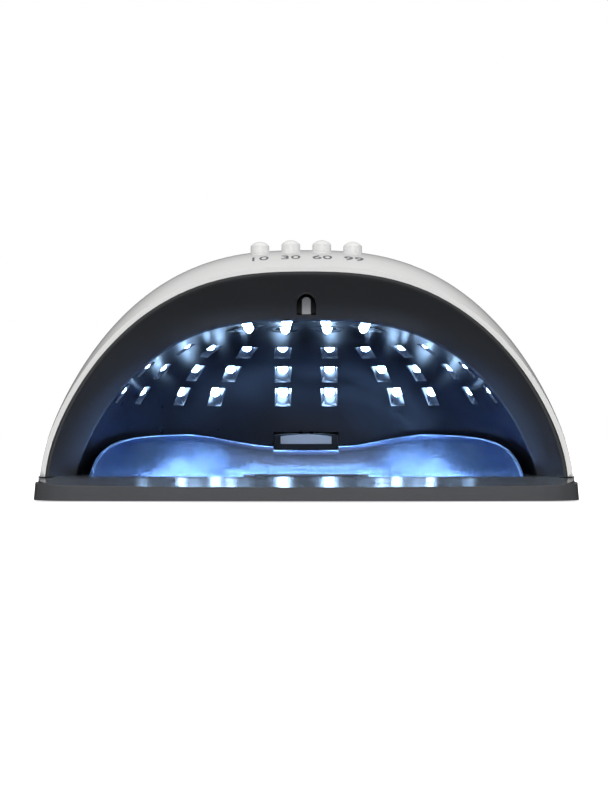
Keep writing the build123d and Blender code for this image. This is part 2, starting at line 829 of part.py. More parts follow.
# ---------------------------------------------------------------- buttons, each with its switch plunger
for name, x in zip(("short", "medium", "long", "hold"), button_xs):
    crown = seat_height + outer.height_at(x, button_y) + button_stand
    dome_foot = crown - button_dome
    flange_reach = abs(x) + button_flange_radius
    front_reach = button_y - button_flange_radius
    flange_top = seat_height + shell_inside.height_at(flange_reach, front_reach) - clearance
    plunger_top = switch_top + plunger_height
    dome_radius = (button_radius**2 + button_dome**2) / (2 * button_dome)
    half_turn = math.asin(button_radius / dome_radius) / 2
    dome_middle = (
        dome_radius * math.sin(half_turn),
        crown - dome_radius + dome_radius * math.cos(half_turn),
    )
    with BuildPart() as button:
        with BuildSketch(Plane.XZ) as button_profile:
            with BuildLine():
                Polyline(
                    (0, crown),
                    (0, plunger_top),
                    (stem_radius, plunger_top),
                    (stem_radius, flange_top - flange_thickness),
                    (button_flange_radius, flange_top - flange_thickness),
                    (button_flange_radius, flange_top),
                    (button_radius, flange_top),
                    (button_radius, dome_foot),
                )
                ThreePointArc((button_radius, dome_foot), dome_middle, (0, crown))
            make_face()
        revolve(axis=Axis.Z)
    button.part = Location((x, button_y, 0)) * button.part
    save(button, f"button_{name}")
    with BuildPart() as plunger:
        with BuildSketch(Plane.XY.offset(switch_top - button_travel)):
            with Locations((x, button_y)):
                Circle(plunger_radius)
        extrude(amount=plunger_height + button_travel)
    save(plunger, f"plunger_{name}")

# ---------------------------------------------------------------- power inlet and its leads
with BuildPart() as dc_jack:
    with BuildSketch(Plane.XZ.offset(-jack_body_y)):
        with Locations((0, jack_z)):
            Rectangle(jack_body_side, jack_body_side)
    extrude(amount=jack_body_depth)
    with BuildSketch(Plane.XZ.offset(-jack_body_y)):
        with Locations((0, jack_z)):
            Circle(jack_barrel_radius)
    extrude(amount=jack_body_y - jack_mouth_y)
    with BuildSketch(Plane.XZ.offset(-jack_mouth_y)):
        with Locations((0, jack_z)):
            Circle(jack_bore_radius)
    extrude(amount=jack_pin_length + 1, mode=Mode.SUBTRACT)
save(dc_jack, "dc_jack")

with BuildPart() as dc_jack_pin:
    with BuildSketch(Plane.XZ.offset(-jack_mouth_y + jack_pin_length + 1)):
        with Locations((0, jack_z)):
            Circle(jack_pin_radius)
    extrude(amount=-jack_pin_length)
save(dc_jack_pin, "dc_jack_pin")

lead_start_y = jack_body_y - jack_body_depth
lead_end_z = board_top + lead_radius
for name, x in (("plus", lead_pitch), ("minus", -lead_pitch)):
    route = [
        (x, lead_start_y, jack_z),
        (x, lead_start_y - 5, jack_z),
        (x, lead_start_y - 9, jack_z + 40),
        (x, board_y + board_depth / 2 + 21, lead_end_z),
        (x, board_y + board_depth / 2 - 4, lead_end_z),
    ]
    with BuildPart() as lead:
        with BuildLine():
            FilletPolyline(*route, radius=[2.4, 14.0, 14.0])
        with BuildSketch(Plane.XZ.offset(-lead_start_y)):
            with Locations((x, jack_z)):
                Circle(lead_radius)
        sweep()
    save(lead, f"jack_lead_{name}")

# ---------------------------------------------------------------- tray
crest_y = face_y + crest_setback
ramp_slope = (seat_height - lip_height) / (crest_y - lip_y)
recess_front_y = crest_y + crest_setback

with BuildPart(mode=Mode.PRIVATE) as tray_hollow:
    add(slab(tray_face(-tray_rim), foot_stand, recess_floor - tray_floor))
    with BuildSketch(Plane.XY.offset(foot_stand)):
        with Locations(*foot_places):
            Circle(foot_radius + tray_floor)
        with Locations(*clamp_screw_places):
            Circle(boss_radius)
        Rectangle(rib_thickness, tray_depth)
        with Locations((0, face_y + widest_setback), (0, clamp_y - boss_radius)):
            Rectangle(2 * shell_half_width, rib_thickness)
    extrude(amount=seat_height, mode=Mode.SUBTRACT)

with BuildPart() as tray_base:
    with BuildSketch(Plane.XY.offset(foot_stand)):
        add(tray_face(0))
    with BuildSketch(Plane.XY.offset(flange_height)):
        add(tray_face(-flange_draft))
    loft()
    with BuildSketch(Plane.XY.offset(flange_height)):
        add(tray_face(-shoulder_width))
    extrude(amount=seat_height - flange_height)
    with BuildSketch(Plane.YZ):
        with BuildLine():
            ahead = lip_y - tray_flange
            low = lip_height - tray_flange * ramp_slope
            Polyline((crest_y, seat_height), (ahead, low), (ahead, 2 * seat_height), close=True)
        make_face()
    extrude(amount=shell_depth, both=True, mode=Mode.SUBTRACT)
    add(tray_hollow.part, mode=Mode.SUBTRACT)
    recess = slab(plan_face(cavity, recess_front_y, -recess_inset), recess_floor, 2 * seat_height)
    add(recess, mode=Mode.SUBTRACT)
    with BuildSketch(Plane.XY.offset(foot_stand)):
        with Locations(*foot_places):
            Circle(foot_radius + clearance / 2)
    extrude(amount=foot_thickness - foot_stand, mode=Mode.SUBTRACT)
    with BuildSketch(Plane.XY.offset(seat_height)):
        with Locations(*magnet_places):
            Circle(keeper_radius)
    extrude(amount=-keeper_thickness, mode=Mode.SUBTRACT)
    with BuildSketch(Plane.XY.offset(mirror_top + clamp_tab - clamp_screw_length)):
        with Locations(*clamp_screw_places):
            Circle(screw_radius)
    extrude(amount=clamp_screw_length, mode=Mode.SUBTRACT)
save(tray_base, "tray_base")

with BuildPart() as tray_mirror:
    with BuildSketch(Plane.XY.offset(recess_floor)):
        add(plan_face(cavity, recess_front_y + 1, -reflector_inset - reflector_wall - clearance))
        with Locations(*clamp_screw_places):
            Circle(screw_radius + clearance, mode=Mode.SUBTRACT)
    extrude(amount=mirror_thickness)
save(tray_mirror, "tray_mirror")

wall_front_y = recess_front_y + tray_flange
wall_low = seat_height + reflector_low
wall_high = seat_height + reflector_high
wall_dip = seat_height + reflector_dip
hump_y = face_y + hump_setback

with BuildPart() as tray_reflector:
    with BuildSketch(Plane.XY.offset(recess_floor)):
        add(plan_face(cavity, wall_front_y, -reflector_inset))
        inner = plan_face(cavity, wall_front_y - tray_flange, -reflector_inset - reflector_wall)
        add(inner, mode=Mode.SUBTRACT)
    extrude(amount=wall_high - recess_floor)
    with BuildSketch(Plane.YZ):
        with BuildLine():
            Bezier(
                (wall_front_y, wall_low), ((wall_front_y + hump_y) / 2, wall_high), (hump_y, wall_high)
            )
            Polyline(
                (hump_y, wall_high),
                (hump_y, wall_high + 1),
                (wall_front_y - 1, wall_high + 1),
                (wall_front_y - 1, wall_low),
                (wall_front_y, wall_low),
            )
        make_face()
    extrude(amount=shell_depth, both=True, mode=Mode.SUBTRACT)
    with BuildSketch(Plane.XZ):
        with BuildLine():
            Spline(
                (hump_x, wall_high),
                ((hump_x + notch_half_width) / 2, (wall_high + wall_dip) / 2),
                (notch_half_width, wall_dip),
                tangents=((-1, 0), (-1, -0.1)),
            )
            Polyline(
                (notch_half_width, wall_dip),
                (notch_half_width, seat_height + notch_height),
                (0, seat_height + notch_height),
                (0, wall_high + 1),
                (hump_x, wall_high + 1),
                (hump_x, wall_high),
            )
        make_face()
        mirror(about=Plane.YZ)
    extrude(amount=-shell_depth, mode=Mode.SUBTRACT)
save(tray_reflector, "tray_reflector")

with BuildPart() as tray_clamp_bar:
    with BuildSketch(Plane.XY.offset(mirror_top)):
        with Locations((0, clamp_y)):
            Rectangle(clamp_width, clamp_depth)
    extrude(amount=clamp_height)
    fillet(tray_clamp_bar.edges().group_by(Axis.Z)[-1], clamp_height / 4)
    with BuildSketch(Plane.XY.offset(mirror_top)):
        with Locations((0, clamp_y)):
            SlotOverall(2 * clamp_screw_x + clamp_depth + 1, clamp_depth)
    extrude(amount=clamp_tab)
    with BuildSketch(Plane.XY.offset(mirror_top)):
        with Locations(*clamp_screw_places):
            Circle(screw_radius + clearance)
    extrude(amount=clamp_height, mode=Mode.SUBTRACT)
save(tray_clamp_bar, "tray_clamp_bar")

with BuildPart() as clamp_screws:
    with Locations(*[(x, y, mirror_top + clamp_tab) for x, y in clamp_screw_places]):
        add(pan_screw(clamp_screw_length))
save(clamp_screws, "clamp_screws")

with BuildPart() as keeper_discs:
    with BuildSketch(Plane.XY.offset(seat_height)):
        with Locations(*magnet_places):
            Circle(keeper_radius)
    extrude(amount=-keeper_thickness)
save(keeper_discs, "keeper_discs")

with BuildPart() as rubber_feet:
    with BuildSketch():
        with Locations(*foot_places):
            Circle(foot_radius)
    extrude(amount=foot_thickness)
    fillet(rubber_feet.edges().group_by(Axis.Z)[0], foot_stand / 2)
save(rubber_feet, "rubber_feet")
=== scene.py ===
# %% [markdown]
# # A dome curing lamp, from its shell to its light
# The lamp is a moulded dome over a tray. Thirty-six small LEDs sit in pockets inside the dome, and a
# polished wall in the tray throws their light back up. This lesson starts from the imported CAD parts.
# The shells keep their CAD shape and take their shading from a formula. The bezel, the wall, the lenses
# and the sensor window are rebuilt as arrays of points. Small parts keep their shape and get a finish.

# %% Load the CAD frame
import math

import bmesh
import bpy
import numpy as np
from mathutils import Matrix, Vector


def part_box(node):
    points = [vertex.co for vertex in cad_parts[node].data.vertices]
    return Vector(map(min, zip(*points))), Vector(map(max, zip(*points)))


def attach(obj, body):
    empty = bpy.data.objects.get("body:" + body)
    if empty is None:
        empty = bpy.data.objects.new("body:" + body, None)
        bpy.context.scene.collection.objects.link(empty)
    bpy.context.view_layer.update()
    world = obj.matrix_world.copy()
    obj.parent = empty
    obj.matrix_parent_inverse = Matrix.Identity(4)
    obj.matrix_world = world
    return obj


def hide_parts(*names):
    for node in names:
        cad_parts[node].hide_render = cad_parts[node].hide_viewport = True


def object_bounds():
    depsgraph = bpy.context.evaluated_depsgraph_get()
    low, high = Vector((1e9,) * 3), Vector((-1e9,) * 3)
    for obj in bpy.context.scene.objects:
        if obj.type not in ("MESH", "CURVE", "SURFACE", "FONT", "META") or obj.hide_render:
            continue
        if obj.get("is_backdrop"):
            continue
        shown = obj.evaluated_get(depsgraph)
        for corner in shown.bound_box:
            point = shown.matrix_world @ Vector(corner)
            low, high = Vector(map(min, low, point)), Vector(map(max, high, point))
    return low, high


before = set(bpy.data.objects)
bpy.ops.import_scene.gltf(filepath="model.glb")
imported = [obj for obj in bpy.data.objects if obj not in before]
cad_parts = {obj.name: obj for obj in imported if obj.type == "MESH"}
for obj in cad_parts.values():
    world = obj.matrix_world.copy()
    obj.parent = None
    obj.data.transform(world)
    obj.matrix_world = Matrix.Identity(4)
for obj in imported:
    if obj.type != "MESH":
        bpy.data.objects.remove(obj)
cad_low, cad_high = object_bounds()
MM = 0.001
print("CAD box in mm:", [round(v / MM, 1) for v in (*cad_low, *cad_high)])

# %% [markdown]
# ## The forms
# Shell, bezel and cavity are all the same kind of form: arches across X, each one a superellipse, whose
# half width and rise change along Y. One class holds the formula, so every skin and every smooth normal
# comes from the same few numbers. Lengths are in millimetres until the mesh is made.

# %% Sizes read from the CAD
def corner(node):
    """Low and high corner of a CAD node, in millimetres."""
    low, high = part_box(node)
    return np.array(low) / MM, np.array(high) / MM


shell_low, shell_high = corner("outer_shell")
seat = shell_low[2]
face_y = shell_low[1]
shell_half_width = round(shell_high[0], 1)
shell_rise = round(shell_high[2] - seat, 1)
shell_depth = 180.0
shell_back_y = face_y + shell_depth
crown_setback = 70.0
crown_y = face_y + crown_setback
print("shell half width, rise:", shell_half_width, shell_rise, "seat:", round(seat, 2))


# %% The dome formula
thinnest = 0.05  # keeps the formula from dividing by nothing where the dome closes
slope_step = 0.02  # to either side of a point, for the slope there


class Dome:
    """Arches |x/w|^side + (h/r)^top = 1, with w and r following Y as quarter superellipses."""

    def __init__(self, width, rise, widest_y, back_y, side_reach, crown_reach, powers):
        self.width, self.rise = width, rise
        self.widest_y, self.back_y = widest_y, back_y
        self.side_reach, self.crown_reach = side_reach, crown_reach
        self.powers = powers
        self.plan_power, self.crown_power, self.side_power, self.top_power = powers

    def inset(self, by):
        """The dome inside this one: half width, rise and back, each less the same length."""
        return Dome(
            self.width - by, self.rise - by, self.widest_y, self.back_y - by,
            self.side_reach, self.crown_reach, self.powers,
        )

    def along(self, y, full, start, reach, power):
        """A half axis at y: full, times one curve in front of start and another behind it.

        In front it is the root of 1 less (distance / reach) squared, a quarter ellipse. Behind it is
        (1 - share^power)^(1 / power), where share grows from 0 at start to 1 at the dome's back.
        """
        front = full * np.sqrt(np.clip(1 - (np.minimum(y - start, 0) / reach) ** 2, 0, 1))
        share = np.clip((y - start) / (self.back_y - start), 0, 1)
        return front * (1 - share**power) ** (1 / power)

    def width_at(self, y):
        """Half width of the arch at y, greatest at the widest place."""
        return self.along(y, self.width, self.widest_y, self.side_reach, self.plan_power)

    def rise_at(self, y):
        """Rise of the arch at y, greatest at the crown."""
        return self.along(y, self.rise, crown_y, self.crown_reach, self.crown_power)

    def height_at(self, x, y):
        """Height of the skin over x and y: rise times (1 - |x/w|^side)^(1 / top)."""
        share = np.clip(1 - (np.abs(x) / self.width_at(y)) ** self.side_power, 0, 1)
        return self.rise_at(y) * share ** (1 / self.top_power)

    def excess(self, points):
        """|x/w|^side + (h/r)^top - 1: below zero inside, zero on the dome, above zero outside."""
        x, y, z = points[..., 0], points[..., 1], points[..., 2]
        width = np.maximum(self.width_at(y), thinnest)
        rise = np.maximum(self.rise_at(y), thinnest)
        across = np.abs(x / width) ** self.side_power
        return across + (np.maximum(z - seat, 0) / rise) ** self.top_power - 1

    def normals(self, points):
        """Unit gradient of the excess, by central differences."""
        slope = np.zeros_like(points)
        for axis in range(3):
            shift = np.zeros(3)
            shift[axis] = slope_step
            slope[..., axis] = self.excess(points + shift) - self.excess(points - shift)
        slope[..., 2] += 1e-9
        return slope / np.linalg.norm(slope, axis=-1, keepdims=True)


# %% Outer dome, plug and cavity
def reach_for(full, setback, loss):
    """Half axis of the ellipse that falls from full by loss over setback."""
    return setback / math.sqrt(1 - ((full - loss) / full) ** 2)


# Powers of the plan, the crown line, the arch's sides and its top. Two is an ellipse, more is boxier.
outer_powers = (2.3, 2.3, 2.62, 1.55)
cavity_powers = (2.5, 2.6, 2.95, 1.3)
outer_widest, outer_side_loss, outer_crown_loss = 30.0, 2.0, 21.0
outer = Dome(
    shell_half_width, shell_rise, face_y + outer_widest, shell_back_y,
    reach_for(shell_half_width, outer_widest, outer_side_loss),
    reach_for(shell_rise, crown_setback, outer_crown_loss), outer_powers,
)
cavity_half_width, cavity_rise, cavity_widest, space_behind = 97.8, 67.0, 15.0, 27.0
straight, cavity_crown_loss = 1e4, 0.8
cavity = Dome(
    cavity_half_width, cavity_rise, face_y + cavity_widest, shell_back_y - space_behind,
    straight, reach_for(cavity_rise, crown_setback, cavity_crown_loss), cavity_powers,
)
shell_wall, plug_gap = 2.2, 0.2
plug = outer.inset(shell_wall + plug_gap)
print("half widths of outer dome, plug, cavity:", outer.width, round(plug.width, 2), cavity.width)

# %% [markdown]
# ## Helpers for meshes
# A skin is a grid of points. The helpers turn such a grid into a mesh, weld the seams, drop faces that
# shrank to nothing at a pole, and shade it smooth with sharp edges kept sharp.

# %% Faces of a grid
def grid_quads(rows, columns, closed_rows=False, closed_columns=False):
    """Corner indices of the quads of a grid of rows by columns."""
    row = np.arange(rows if closed_rows else rows - 1)
    column = np.arange(columns if closed_columns else columns - 1)
    row, column = np.meshgrid(row, column, indexing="ij")
    next_row, next_column = (row + 1) % rows, (column + 1) % columns
    quads = np.stack(
        [row * columns + column, row * columns + next_column,
         next_row * columns + next_column, next_row * columns + column], -1
    )
    return quads.reshape(-1, 4).tolist()


def rod_faces(rows, columns):
    """Faces of a closed section carried along a path, with one face over each end."""
    ends = [list(range(columns)), list(range((rows - 1) * columns, rows * columns))]
    return grid_quads(rows, columns, closed_columns=True) + ends


def copied_faces(quads, copies, points_each):
    """The same quads for every copy of a form, when the copies' points follow one another."""
    quads = np.array(quads)[None] + np.arange(copies)[:, None, None] * points_each
    return quads.reshape(-1, 4).tolist()


# %% Make, place and finish a piece
weld_distance, empty_edge = 2e-6, 1e-7  # metres


def weld(mesh, outward=True):
    """Merges equal points, drops empty faces and turns the faces outwards."""
    work = bmesh.new()
    work.from_mesh(mesh)
    bmesh.ops.remove_doubles(work, verts=work.verts, dist=weld_distance)
    bmesh.ops.dissolve_degenerate(work, edges=work.edges, dist=empty_edge)
    if outward:
        bmesh.ops.recalc_face_normals(work, faces=work.faces)
    work.to_mesh(mesh)
    work.free()


def finish_piece(name, mesh, material, body, stands_for=(), angle=35):
    """Links a piece, gives it its material, hangs it on its body's empty and hides the CAD parts it stands
    for.
    """
    mesh.shade_smooth()
    mesh.set_sharp_from_angle(angle=math.radians(angle))
    piece = bpy.data.objects.new(name, mesh)
    bpy.context.collection.objects.link(piece)
    if not mesh.materials:
        mesh.materials.append(material)
    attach(piece, body)
    if stands_for:
        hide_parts(*stands_for)
    return piece


def new_piece(name, points, faces, material, body, stands_for=(), angle=35):
    """A piece from points in millimetres."""
    mesh = bpy.data.meshes.new(name)
    mesh.from_pydata((np.asarray(points).reshape(-1, 3) * MM).tolist(), [], faces)
    weld(mesh)
    piece = finish_piece(name, mesh, material, body, stands_for, angle)
    print(name, len(mesh.polygons), "faces")
    return piece


def read(items, what, width=1, kind=float):
    """One row of numbers for each vertex, edge, face or corner, all read at once."""
    values = np.zeros(len(items) * width, kind)
    items.foreach_get(what, values)
    return values.reshape(-1, width) if width > 1 else values


def result_mesh(source):
    """A new mesh of what an object looks like once its modifiers or its type outlines are worked out."""
    bpy.context.view_layer.update()
    return bpy.data.meshes.new_from_object(source.evaluated_get(bpy.context.evaluated_depsgraph_get()))


# %% [markdown]
# ## Copies of CAD parts
# A CAD mesh has the right shape but flat facets and knife edges. A smooth copy keeps each facet and takes
# its normals from the dome formula. A rounded copy joins the flat facets and gets a small radius on its
# edges from two modifiers, so the same small radius is used on every edge without modelling it.

# %% Smooth and rounded copies
def cad_copy(node, name):
    """A welded copy of a CAD node's mesh, without a material."""
    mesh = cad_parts[node].data.copy()
    mesh.name = name
    mesh.materials.clear()
    weld(mesh, outward=False)
    return mesh


on_skin = 0.012  # how far from zero the excess may be for a point to count as on the dome
same_way = 0.93  # cosine between facet and formula, below which the facet is a cut wall


def smooth_copy(node, name, material, body, skins=(), angle=30):
    """A welded copy of a CAD node, whose normals on the given dome skins come from the formula."""
    mesh = cad_copy(node, name)
    piece = finish_piece(name, mesh, material, body, (node,), angle)
    places = read(mesh.vertices, "co", 3)[read(mesh.loops, "vertex_index", kind=int)] / MM
    normals = read(mesh.corner_normals, "vector", 3)
    corner_counts = read(mesh.polygons, "loop_total", kind=int)
    flat = np.repeat(read(mesh.polygons, "normal", 3), corner_counts, axis=0)
    for skin, outside in skins:
        smooth = skin.normals(places) * (1 if outside else -1)
        near = np.abs(skin.excess(places)) < on_skin
        facing = (smooth * flat).sum(1) > same_way
        normals[near & facing] = smooth[near & facing]
    mesh.normals_split_custom_set(normals.tolist())
    print(name, "keeps its CAD shape,", len(mesh.polygons), "faces")
    return piece


flat_angle = 0.6


def rounded_copy(node, name, material, body, width, angle=38):
    """A CAD copy whose flat faces are joined again and whose edges get a small moulded radius."""
    mesh = cad_copy(node, name)
    work = bmesh.new()
    work.from_mesh(mesh)
    bmesh.ops.dissolve_limit(
        work, angle_limit=math.radians(flat_angle), verts=work.verts, edges=work.edges
    )
    work.to_mesh(mesh)
    work.free()
    piece = finish_piece(name, mesh, material, body, (node,), angle)
    edge = piece.modifiers.new("edge", "BEVEL")
    edge.width = width * MM
    edge.segments = 2
    edge.limit_method = "ANGLE"
    edge.angle_limit = math.radians(angle)
    edge.use_clamp_overlap = True
    shade = piece.modifiers.new("shade", "WEIGHTED_NORMAL")
    shade.keep_sharp = False
    print(name, "has edges rounded by", width, "mm")
    return piece


# %% [markdown]
# ## Helpers for materials
# Colours are written as the sRGB hex values a paint chart would give and turned linear by one function.
# One small function adds a node, sets it up and links it, so each material reads as a short recipe.

# %% Colour and node helpers
def linear(hex_colour):
    """sRGB hex such as #d8d8d6 as linear red, green, blue and alpha."""
    parts = np.array([int(hex_colour[i : i + 2], 16) for i in (1, 3, 5)]) / 255
    low, high = parts / 12.92, ((parts + 0.055) / 1.055) ** 2.4
    return (*np.where(parts <= 0.04045, low, high), 1.0)


def add_node(tree, kind, sockets=None, **settings):
    """Adds a node. A socket's value is a number, a colour or another node's output."""
    node = tree.nodes.new(kind)
    for key, value in settings.items():
        setattr(node, key, value)
    for key, value in (sockets or {}).items():
        if isinstance(value, bpy.types.NodeSocket):
            tree.links.new(value, node.inputs[key])
        else:
            node.inputs[key].default_value = value
    return node


def new_material(name):
    """An empty node material: its tree, its surface shader and the object coordinates."""
    material = bpy.data.materials.new(name)
    material.use_nodes = True
    tree = material.node_tree
    shader = tree.nodes["Principled BSDF"]
    place = add_node(tree, "ShaderNodeTexCoord").outputs["Object"]
    return material, tree, shader, place


def per_mm(size):
    """Texture scale for a pattern whose features are about this many millimetres."""
    return 1 / (size * MM)


def gloss_and_bump(tree, shader, gloss_noise, roughness, bump_noise, strength, lift):
    """Roughness runs between two values with one noise, and another lifts the surface by millimetres."""
    gloss = add_node(
        tree, "ShaderNodeMapRange",
        {"Value": gloss_noise.outputs["Fac"], "To Min": roughness[0], "To Max": roughness[1]},
    )
    bump = add_node(
        tree, "ShaderNodeBump",
        {"Height": bump_noise.outputs["Fac"], "Strength": strength, "Distance": lift * MM},
    )
    tree.links.new(gloss.outputs["Result"], shader.inputs["Roughness"])
    tree.links.new(bump.outputs["Normal"], shader.inputs["Normal"])


# %% [markdown]
# ## The finishes
# The shell is white ABS from a polished mould: high gloss with a faint orange peel. The tray is charcoal
# ABS with nearly the same gloss, and the bezel is a duller graphite one. The dome's inside is a satin
# blue-black, so that stray light does not glare. The tray's wall and floor are vacuum-metallised, bright
# but not optically flat.

# %% Plastic finishes
patch_size, wipe_size = 30.0, 9.0  # of the drift in colour and in gloss, in millimetres


def moulded(name, colour, shade, roughness, grain, lift, coat=0.0):
    """Moulded plastic. Its colour drifts to a shade of it, its gloss is uneven between two roughnesses,
    and a mould texture of the given grain lifts it a little, both in millimetres."""
    material, tree, shader, place = new_material(name)
    drift = add_node(
        tree, "ShaderNodeTexNoise", {"Vector": place, "Scale": per_mm(patch_size), "Detail": 3.0}
    )
    tint = add_node(
        tree, "ShaderNodeMix", {"Factor": drift.outputs["Fac"], "A": linear(colour), "B": linear(shade)},
        data_type="RGBA",
    )
    wipe = add_node(tree, "ShaderNodeTexNoise", {"Vector": place, "Scale": per_mm(wipe_size), "Detail": 4.0})
    skin = add_node(tree, "ShaderNodeTexNoise", {"Vector": place, "Scale": per_mm(grain), "Detail": 2.0})
    gloss_and_bump(tree, shader, wipe, roughness, skin, 0.35, lift)
    tree.links.new(tint.outputs["Result"], shader.inputs["Base Color"])
    shader.inputs["Coat Weight"].default_value = coat
    shader.inputs["Coat Roughness"].default_value = 0.06
    return material


# A polished mould gives the shell one long clean highlight on a white that is slightly grey.
white_abs = moulded("polished_white_abs", "#d6d6d5", "#cfcfce", (0.12, 0.2), 1.6, 0.012, coat=0.4)
# The keys are a little duller than the shell, so their rims stand out against it.
button_abs = moulded("satin_white_abs", "#dadad9", "#d3d3d2", (0.22, 0.34), 1.2, 0.012)
# Dark and half glossy: the bezel shows broad grey sheens and no sharp mirror images.
bezel_abs = moulded("polished_graphite_abs", "#2e2f31", "#292a2c", (0.28, 0.36), 1.4, 0.006)
# Satin blue-black lets the pockets glow and keeps the rest of the dome dark.
inner_abs = moulded("satin_midnight_abs", "#15171e", "#111319", (0.24, 0.36), 1.2, 0.015)
# Charcoal with a polish that draws a bright line along the tray's edges.
tray_abs = moulded("polished_charcoal_abs", "#4a4b4e", "#444548", (0.14, 0.26), 1.4, 0.012)
# Plain black plastic, dull enough to fall back behind the parts round it.
black_abs = moulded("moulded_black_abs", "#0c0c0e", "#08080a", (0.35, 0.5), 0.8, 0.02)
# Rubber has almost no highlight.
foot_rubber = moulded("foot_rubber", "#141414", "#1b1b1b", (0.7, 0.85), 0.6, 0.05)
# Filter resin looks milky grey, like frosted glass.
sensor_resin = moulded("infrared_window_resin", "#8c8e92", "#828489", (0.25, 0.35), 1.5, 0.01)
# Smoked acrylic is nearly black with the sharpest highlight of all.
smoked_acrylic = moulded("smoked_acrylic", "#08090b", "#060708", (0.04, 0.08), 3.0, 0.004)
# Soft PVC on the leads has a waxy sheen: red for plus, black for minus.
red_wire = moulded("red_wire_pvc", "#8c1414", "#7a1010", (0.4, 0.5), 0.7, 0.02)
black_wire = moulded("black_wire_pvc", "#101010", "#181818", (0.4, 0.5), 0.7, 0.02)
# Solder mask is a thin lacquer, so the boards shine a little: green, black and grey-blue ones.
board_mask = moulded("green_solder_mask", "#0c4a2a", "#0a3e24", (0.25, 0.4), 1.0, 0.02)
dark_mask = moulded("black_solder_mask", "#0d0e10", "#131417", (0.3, 0.45), 1.0, 0.02)
led_board = moulded("grey_led_board", "#3a4250", "#323a48", (0.3, 0.45), 0.8, 0.01)
# Ink is flatter than the shell, so the numbers stay grey inside a highlight.
ink = moulded("screen_print_ink", "#4a4b4e", "#45464a", (0.4, 0.5), 0.5, 0.005)
print("materials with the plastics:", len(bpy.data.materials))


# %% Metal and mirror finishes
def metal(name, colour, roughness, streak=(1.0, 1.0, 1.0), grain=0.6, lift=0.01):
    """Metal with uneven gloss. The streak stretches its grain along an axis, as brushing does."""
    material, tree, shader, place = new_material(name)
    turned = add_node(tree, "ShaderNodeMapping", {"Vector": place, "Scale": streak})
    noise = add_node(
        tree, "ShaderNodeTexNoise",
        {"Vector": turned.outputs["Vector"], "Scale": per_mm(grain), "Detail": 4.0},
    )
    gloss_and_bump(tree, shader, noise, roughness, noise, 0.3, lift)
    shader.inputs["Base Color"].default_value = linear(colour)
    shader.inputs["Metallic"].default_value = 1.0
    return material


# Metallised film on the floor: a mirror whose images have soft edges.
mirror_film = metal("vacuum_metallised_mirror", "#ccd6ee", (0.13, 0.18), grain=14.0, lift=0.0005)
# The wall's film is more satin, so each LED is drawn out into a soft band.
wall_film = metal("satin_metallised_wall", "#a4bae2", (0.24, 0.28), grain=18.0, lift=0.0002)
# Zinc plate is a pale grey with a cloudy gloss.
plated_steel = metal("zinc_plated_steel", "#b9bbbd", (0.22, 0.4), grain=0.8)
# Black oxide, brushed along the bar, shows as a dark metal with a streaked sheen.
dark_steel = metal("black_oxide_steel", "#6d7077", (0.3, 0.42), (0.1, 1.0, 1.0), grain=0.8)
# Nickel is bright and slightly yellow.
nickel = metal("nickel_plate", "#c9c6bd", (0.12, 0.22), grain=1.2)
print("materials with the metals:", len(bpy.data.materials))


# %% [markdown]
# ## Light from the LEDs
# Each LED is a clear dome over a blue-white chip, far brighter than anything round it. The dome itself
# is made the light source, so the pockets, the wall and the tray are lit by the real thing.

# %% Glowing lens
def glowing(name, colour, strength):
    """A lens that gives light. Its strength drifts by a tenth up and down with a noise."""
    material, tree, shader, place = new_material(name)
    chip = add_node(tree, "ShaderNodeTexNoise", {"Vector": place, "Scale": per_mm(4.0)})
    power = add_node(
        tree, "ShaderNodeMapRange",
        {"Value": chip.outputs["Fac"], "To Min": 0.9 * strength, "To Max": 1.1 * strength},
    )
    tree.links.new(power.outputs["Result"], shader.inputs["Emission Strength"])
    shader.inputs["Base Color"].default_value = linear("#eaf4ff")
    shader.inputs["Roughness"].default_value = 0.15
    shader.inputs["Emission Color"].default_value = linear(colour)
    return material


# A lit lens looks white in its middle and throws blue light on what is near it.
led_strength = 48.0
led_glow = glowing("lit_led_lens", "#a8d0ff", led_strength)
print("each lens glows with strength", led_strength)


# %% [markdown]
# ## Shells
# The outer shell is one moulding with round key holes, a window, vents and an inlet hole cut through it.
# The CAD cut those holes exactly, so its mesh is kept and only the shading is replaced: on both dome
# skins the normals come from the formula, which gives the long clean highlights of a polished mould. The
# timer's window and the lamp dome inside are treated the same way.

# %% Shell, window and lamp dome
shell_inside = outer.inset(shell_wall)
both_skins = [(outer, True), (shell_inside, False)]
smooth_copy("outer_shell", "shell", white_abs, "housing", both_skins)
smooth_copy("display_window", "timer_window", smoked_acrylic, "housing", [(outer, True)])
smooth_copy("inner_shell", "lamp_dome", inner_abs, "housing", [(cavity, False)])

# %% [markdown]
# ## Tray
# The tray is a loose dark moulding with a shoulder for the housing and a glossy lip in front, where a
# wrist lies. All its edges get a small radius from a modifier. The long edges of the lip are far rounder,
# so they are rounded in the mesh itself, which leaves the small radius of the other edges as it is.

# %% Tray with its rounded lip
tray = rounded_copy("tray_base", "tray", tray_abs, "tray", 0.5)
lip_radius, lip_low, lip_high = 2.0, 5.4, 7.3
sharp_turn = 1.0  # radians between the two faces of an edge
places = read(tray.data.vertices, "co", 3)[read(tray.data.edges, "vertices", 2, int)]
on_lip = (places[..., 2].min(1) > lip_low * MM) & (places[..., 2].max(1) < lip_high * MM)
on_lip &= places[..., 1].max(1) < face_y * MM
work = bmesh.new()
work.from_mesh(tray.data)
work.edges.ensure_lookup_table()
lip_edges = [work.edges[index] for index in np.flatnonzero(on_lip).tolist()]
lip_edges = [edge for edge in lip_edges if edge.calc_face_angle(0) > sharp_turn]
bmesh.ops.bevel(
    work, geom=lip_edges, offset=lip_radius * MM, segments=5, profile=0.5, affect="EDGES", clamp_overlap=True
)
work.to_mesh(tray.data)
work.free()
tray.data.shade_smooth()
print("lip edges rounded:", len(lip_edges))

